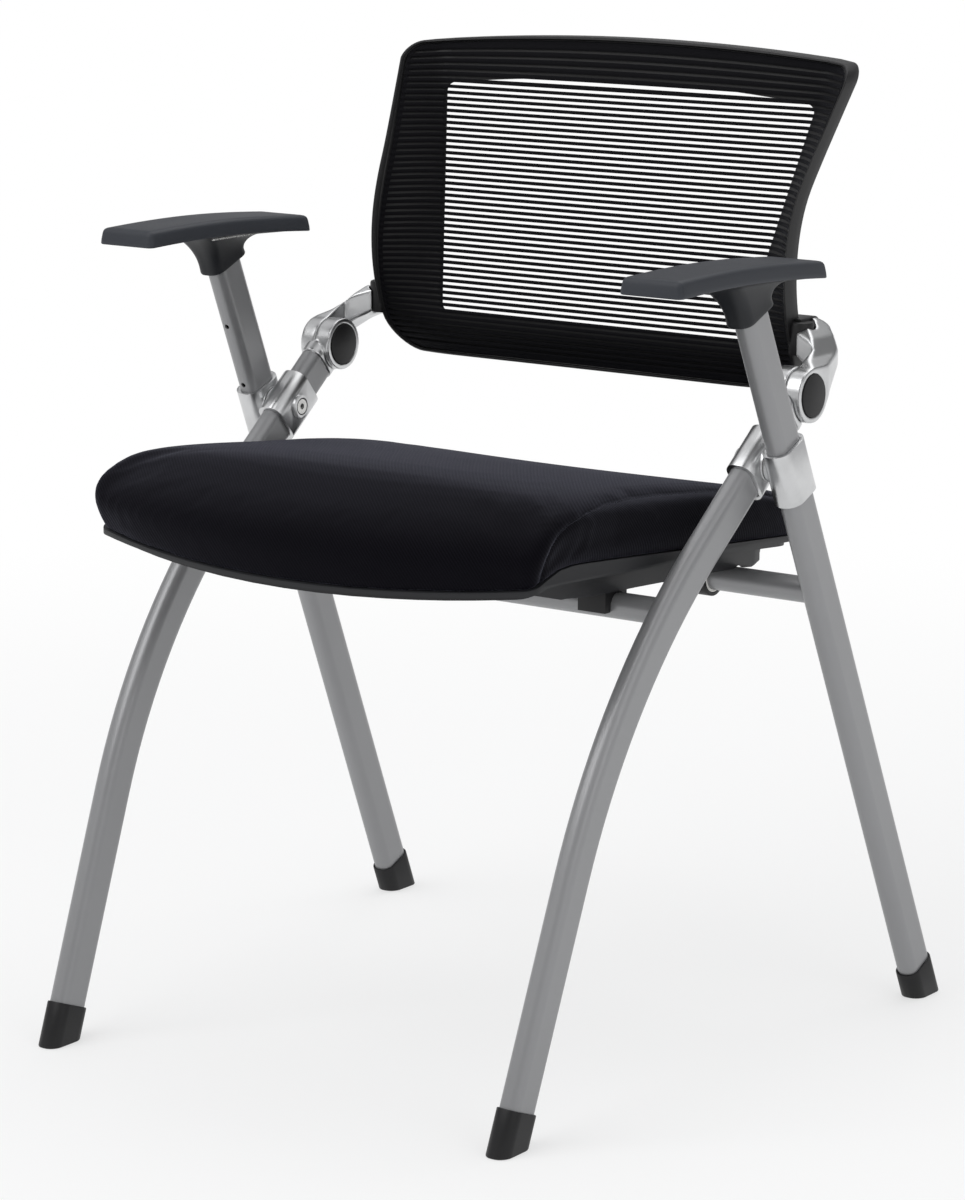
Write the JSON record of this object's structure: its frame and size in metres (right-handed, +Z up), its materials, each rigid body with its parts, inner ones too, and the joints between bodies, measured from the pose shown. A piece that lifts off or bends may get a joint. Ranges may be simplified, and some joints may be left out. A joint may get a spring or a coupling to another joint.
{
  "type": "nesting chair",
  "caption": "Nesting chair with crossed oval-tube legs, a padded seat that flips up, fixed armrests and a sprung mesh backrest.",
  "frame": {"origin": "on the floor, under the middle of the chair's width and depth", "axes": "+Z up, the sitter faces -Y, +X towards the sitter's left hand"},
  "size_m": [0.5984, 0.589, 0.822],
  "materials": {
    "tube_paint": "satin silver-grey powder coat",
    "cast_alloy": "polished casting",
    "steel": "zinc-plated",
    "black_plastic": "fine-grained matt",
    "arm_plastic": "fine-textured matt",
    "white_nylon": "smooth",
    "seat_fabric": "fine dotted weave",
    "mesh_fabric": "open striped net",
    "plywood": "raw"
  },
  "bodies": {
    "front_frame": {"front_leg_right": "tube_paint", "front_leg_left": "tube_paint", "front_cross_tube": "tube_paint", "front_foot_right": "black_plastic", "front_foot_left": "black_plastic", "leg_sleeve_right": "cast_alloy", "leg_sleeve_left": "cast_alloy", "pivot_bolts": "steel", "hinge_knuckle_right": "cast_alloy", "hinge_knuckle_left": "cast_alloy", "hinge_pins": "steel", "hinge_springs": "steel", "inner_hub_caps": "black_plastic"},
    "rear_frame": {"rear_leg_right": "tube_paint", "rear_leg_left": "tube_paint", "rear_cross_tube": "tube_paint", "rear_foot_right": "black_plastic", "rear_foot_left": "black_plastic", "leg_collar_right": "cast_alloy", "leg_collar_left": "cast_alloy", "pivot_washers": "white_nylon", "pivot_nuts": "steel", "arm_neck_right": "arm_plastic", "arm_neck_left": "arm_plastic", "arm_pad_right": "arm_plastic", "arm_pad_left": "arm_plastic", "arm_plates": "steel", "arm_screws": "steel"},
    "seat": {"seat_cushion": "seat_fabric", "seat_board": "plywood", "seat_pan": "black_plastic", "seat_rests": "black_plastic", "seat_hinge_brackets": "black_plastic", "seat_hinge_bushes": "white_nylon", "seat_screws": "steel", "seat_nuts": "steel", "bracket_screws": "steel"},
    "backrest": {"back_frame": "black_plastic", "back_mesh": "mesh_fabric", "back_arm_right": "cast_alloy", "back_arm_left": "cast_alloy", "outer_hub_caps": "black_plastic", "back_screws": "steel"}
  },
  "joints": [
    {"name": "legs_fold", "type": "hinge", "parent": "front_frame", "child": "rear_frame", "pos_m": [0, 0.06, 0.5], "axis": [1, 0, 0], "range_deg": [-38, 0]},
    {"name": "seat_flip", "type": "hinge", "parent": "rear_frame", "child": "seat", "pos_m": [0, 0.10814, 0.3875], "axis": [1, 0, 0], "range_deg": [-50, 0]},
    {"name": "back_recline", "type": "hinge", "parent": "front_frame", "child": "backrest", "pos_m": [0, 0.1213, 0.54824], "axis": [1, 0, 0], "range_deg": [-12, 0], "stiffness_Nm_per_rad": 90, "springref_deg": 5.73}
  ]
}
